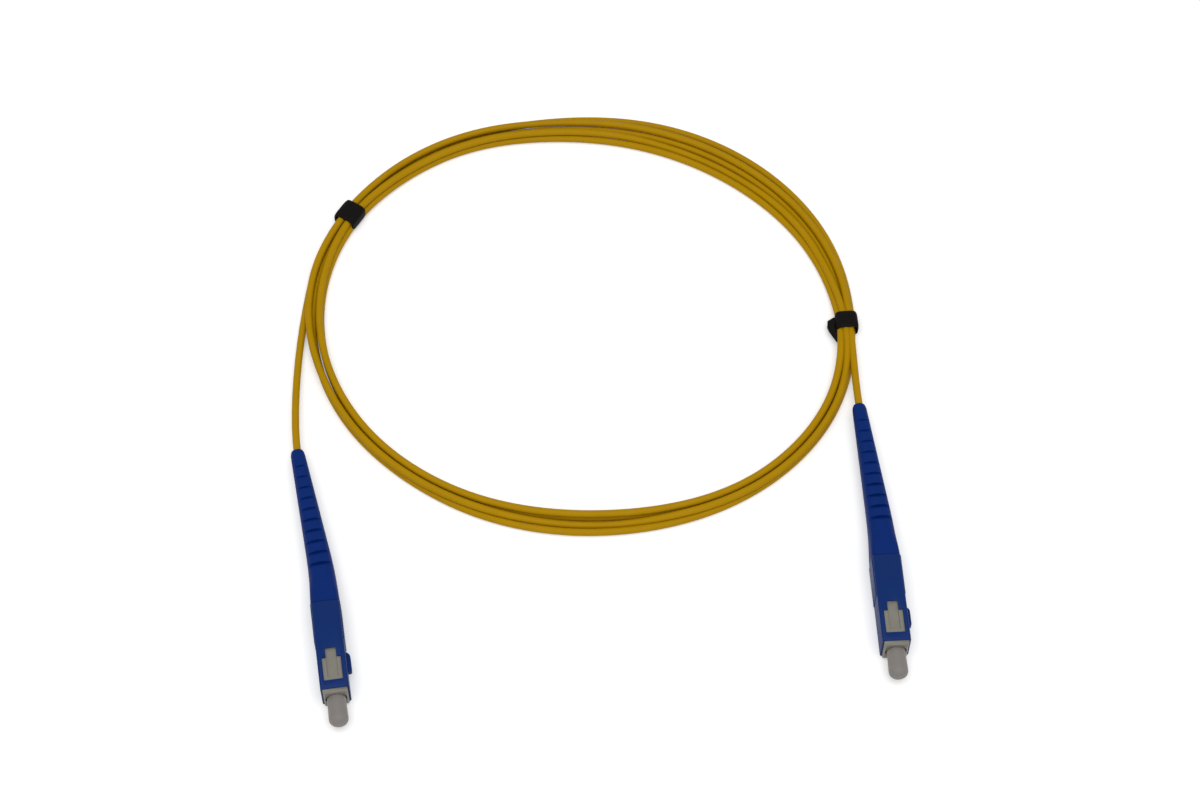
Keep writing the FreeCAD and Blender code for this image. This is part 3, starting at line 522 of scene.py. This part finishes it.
# Low-density polyethylene: milky and waxy, a little translucent, so that light spreads in it and its edges
# look soft.
milky = new_finish("milky_polyethylene")
place = add(milky, "ShaderNodeTexCoord", {}).outputs["Object"]
cloud = add(milky, "ShaderNodeTexNoise", {"Vector": place, "Scale": 1 / 0.004, "Detail": 3.0})
tint = add(milky, "ShaderNodeMix", {"Factor": cloud.outputs["Fac"], "A": linear("#7c7874"),
                                    "B": linear("#84807c")}, data_type="RGBA")
rough = add(milky, "ShaderNodeMapRange", {"Value": cloud.outputs["Fac"], "To Min": 0.4, "To Max": 0.5})
shader = add(milky, "ShaderNodeBsdfPrincipled", {
    "Base Color": tint.outputs[2], "Roughness": rough.outputs["Result"], "IOR": 1.51,
    "Specular IOR Level": 0.25, "Subsurface Weight": 0.3, "Subsurface Scale": 0.001})
add(milky, "ShaderNodeOutputMaterial", {"Surface": shader.outputs["BSDF"]})
for side in plug_places:
    cap = lofted(f"{side}_cap_moulding", cap_rings, plug_places[side], capped=True)
    cap.data.materials.append(milky)
    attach(cap, f"{side}_cap")
    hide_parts(f"{side}_dust_cap")


# Ties: black plastic strips wrapped tight round the turns, the right-hand one with its end twisted into a
# small knot inside the coil and its tip left pointing down.
tie_widths = {"left": 6.4, "right": 5.2}
strip_thick, strip_edge, band_squareness = 0.52, 0.3, 3.6
band_middle, knot_squareness = 2.0, 2.6

# Soft vinyl, extruded as tape: a dull near-black with fine scuffs that catch a little light.
strip = new_finish("soft_vinyl_black")
place = add(strip, "ShaderNodeTexCoord", {}).outputs["Object"]
scuff = add(strip, "ShaderNodeTexNoise", {"Vector": place, "Scale": 1 / 0.0012, "Detail": 4.0})
tint = add(strip, "ShaderNodeMix", {"Factor": scuff.outputs["Fac"], "A": linear("#0a0908"),
                                    "B": linear("#13100e")}, data_type="RGBA")
rough = add(strip, "ShaderNodeMapRange", {"Value": scuff.outputs["Fac"], "To Min": 0.45, "To Max": 0.65})
relief = add(strip, "ShaderNodeBump", {"Height": scuff.outputs["Fac"], "Strength": 0.25, "Distance": 0.0002})
shader = add(strip, "ShaderNodeBsdfPrincipled", {
    "Base Color": tint.outputs[2], "Roughness": rough.outputs["Result"], "IOR": 1.53,
    "Specular IOR Level": 0.05, "Normal": relief.outputs["Normal"]})
add(strip, "ShaderNodeOutputMaterial", {"Surface": shader.outputs["BSDF"]})
for side, width in tie_widths.items():
    turns = (180 - tie_angles[side]) / 360
    angle = math.radians(tie_angles[side])
    base = ring_place(angle, band_middle)
    along = (ring_place(angle + 0.01, band_middle) - ring_place(angle - 0.01, band_middle)).normalized()
    tie_place = Matrix.Translation(base / 1000) @ Matrix.Rotation(math.atan2(-along.x, along.y), 4, "Z")
    outward = Vector((along.y, -along.x, 0))
    strands = [strand_place(turns + lap) for lap in range(math.ceil(coil_turns))]
    across = [(strand - base).dot(outward) for strand in strands]
    heights = [strand.z for strand in strands]
    middle = Vector(((min(across) + max(across)) / 2, 0, (min(heights) + max(heights)) / 2))
    half_width = (max(across) - min(across)) / 2 + cable_radius
    half_height = (max(heights) - min(heights)) / 2 + cable_radius
    rings = []
    for share in range(-6, 7):
        crown = strip_thick - (strip_thick - strip_edge) * abs(share / 6) ** 5
        skin = outline(share / 12 * width, half_width + crown, half_height + crown * 0.9, band_squareness)
        rings.append([point + middle for point in skin])
    for share in range(6, -7, -1):
        skin = outline(share / 12 * width, half_width + 0.02, half_height + 0.02, band_squareness)
        rings.append([point + middle for point in skin])
    tie = lofted(f"{side}_tie_strip", rings, tie_place)
    tie.data.materials.append(strip)
    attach(tie, "cable_and_frames")
    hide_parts(f"{side}_tie")

# The knot of the right-hand tie, where its end comes out of the band, and the tip that is left to hang down.
# Each step is how far in from the band, how far along it, and the strip's half width and half thickness.
knot_steps = [(-0.9, 0.4, 1.4, 0.9), (0.5, 0.4, 1.5, 1.05), (1.35, 0, 1.45, 1.1), (1.55, -1.1, 1.3, 1.0),
              (1.3, -2.3, 1.15, 0.8), (0.95, -3.5, 0.95, 0.65), (0.65, -4.7, 0.7, 0.5),
              (0.4, -5.8, 0.4, 0.4), (0.25, -6.5, 0.12, 0.2)]
knot_places = [Vector((middle.x - half_width - inward, forward, middle.z))
               for inward, forward, _, _ in knot_steps]
knot_rings = []
for index, (_, _, half_side, half_thick) in enumerate(knot_steps):
    heading = (knot_places[min(index + 1, len(knot_steps) - 1)] - knot_places[max(index - 1, 0)]).normalized()
    sideways = Vector((heading.y, -heading.x, 0))
    knot_rings.append([knot_places[index] + sideways * point.x + Vector((0, 0, point.z))
                       for point in outline(0, half_side, half_thick, knot_squareness)])
knot = lofted("right_tie_knot", knot_rings, tie_place, capped=True)
knot.data.materials.append(strip)
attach(knot, "cable_and_frames")


# Floor, light and view: a sweep of white paper under a large softbox and even fill, seen from above.
# The paper and the background glow only where they are seen, so the object gets no more light from them.
floor_reach = 4
floor_mesh = bpy.data.meshes.new("floor")
floor_corners = [(-1, -1), (1, -1), (1, 1), (-1, 1)]
floor_mesh.from_pydata([(x * floor_reach, y * floor_reach, 0) for x, y in floor_corners], [], [(0, 1, 2, 3)])
floor = bpy.data.objects.new("floor", floor_mesh)
bpy.context.scene.collection.objects.link(floor)
# Uncoated paper: an even matt white that keeps the object's soft shadow.
paper = new_finish("matt_white_paper")
ray = add(paper, "ShaderNodeLightPath", {})
seen = add(paper, "ShaderNodeMath", {0: ray.outputs["Is Camera Ray"], 1: ray.outputs["Is Glossy Ray"]},
           operation="MAXIMUM")
seen = add(paper, "ShaderNodeMath", {0: seen.outputs[0], 1: ray.outputs["Is Transmission Ray"]},
           operation="MAXIMUM")
# The paper sweeps up into the light further off, so it looks white there too.
place = add(paper, "ShaderNodeTexCoord", {}).outputs["Object"]
away = add(paper, "ShaderNodeVectorMath", {0: place}, operation="LENGTH")
level = add(paper, "ShaderNodeMapRange", {"Value": away.outputs["Value"], "From Min": 0.3, "From Max": 1.8,
                                          "To Min": 0.25, "To Max": 0.95})
glow = add(paper, "ShaderNodeMath", {0: seen.outputs[0], 1: level.outputs["Result"]},
           operation="MULTIPLY")
shader = add(paper, "ShaderNodeBsdfPrincipled", {
    "Base Color": linear("#f2f2f2"), "Roughness": 0.9, "Specular IOR Level": 0.0,
    "Emission Color": linear("#ffffff"), "Emission Strength": glow.outputs[0]})
add(paper, "ShaderNodeOutputMaterial", {"Surface": shader.outputs["BSDF"]})
floor.data.materials.append(paper)

world = bpy.data.worlds.new("studio")
bpy.context.scene.world = world
world.use_nodes = True
world.node_tree.nodes.clear()
ray = add(world, "ShaderNodeLightPath", {})
seen = add(world, "ShaderNodeMath", {0: ray.outputs["Is Camera Ray"], 1: ray.outputs["Is Glossy Ray"]},
           operation="MAXIMUM")
seen = add(world, "ShaderNodeMath", {0: seen.outputs[0], 1: ray.outputs["Is Transmission Ray"]},
           operation="MAXIMUM")
strength = add(world, "ShaderNodeMapRange", {"Value": seen.outputs[0], "To Min": 0.46, "To Max": 1.0})
sky = add(world, "ShaderNodeBackground", {"Color": linear("#ffffff"), "Strength": strength.outputs["Result"]})
add(world, "ShaderNodeOutputWorld", {"Surface": sky.outputs["Background"]})

lamp = bpy.data.lights.new("softbox", "AREA")
lamp.shape = "SQUARE"
lamp.size = 1.2
lamp.energy = 12.4
softbox = bpy.data.objects.new("softbox", lamp)
softbox.location = (0, -0.35, 1.3)
softbox.rotation_euler = (Vector((0, 0.05, 0)) - softbox.location).to_track_quat("-Z", "Y").to_euler()
bpy.context.scene.collection.objects.link(softbox)

camera = bpy.data.objects.new("camera", bpy.data.cameras.new("camera"))
camera.data.sensor_width = 36
camera.data.lens = 82.2
camera.location = (-0.000142, -0.340204, 0.6395)
aim = Vector((-0.000142, 0.051696, 0)) - camera.location
camera.rotation_euler = aim.to_track_quat("-Z", "Y").to_euler()
bpy.context.scene.collection.objects.link(camera)
bpy.context.scene.camera = camera
bpy.context.scene.view_settings.view_transform = "Standard"
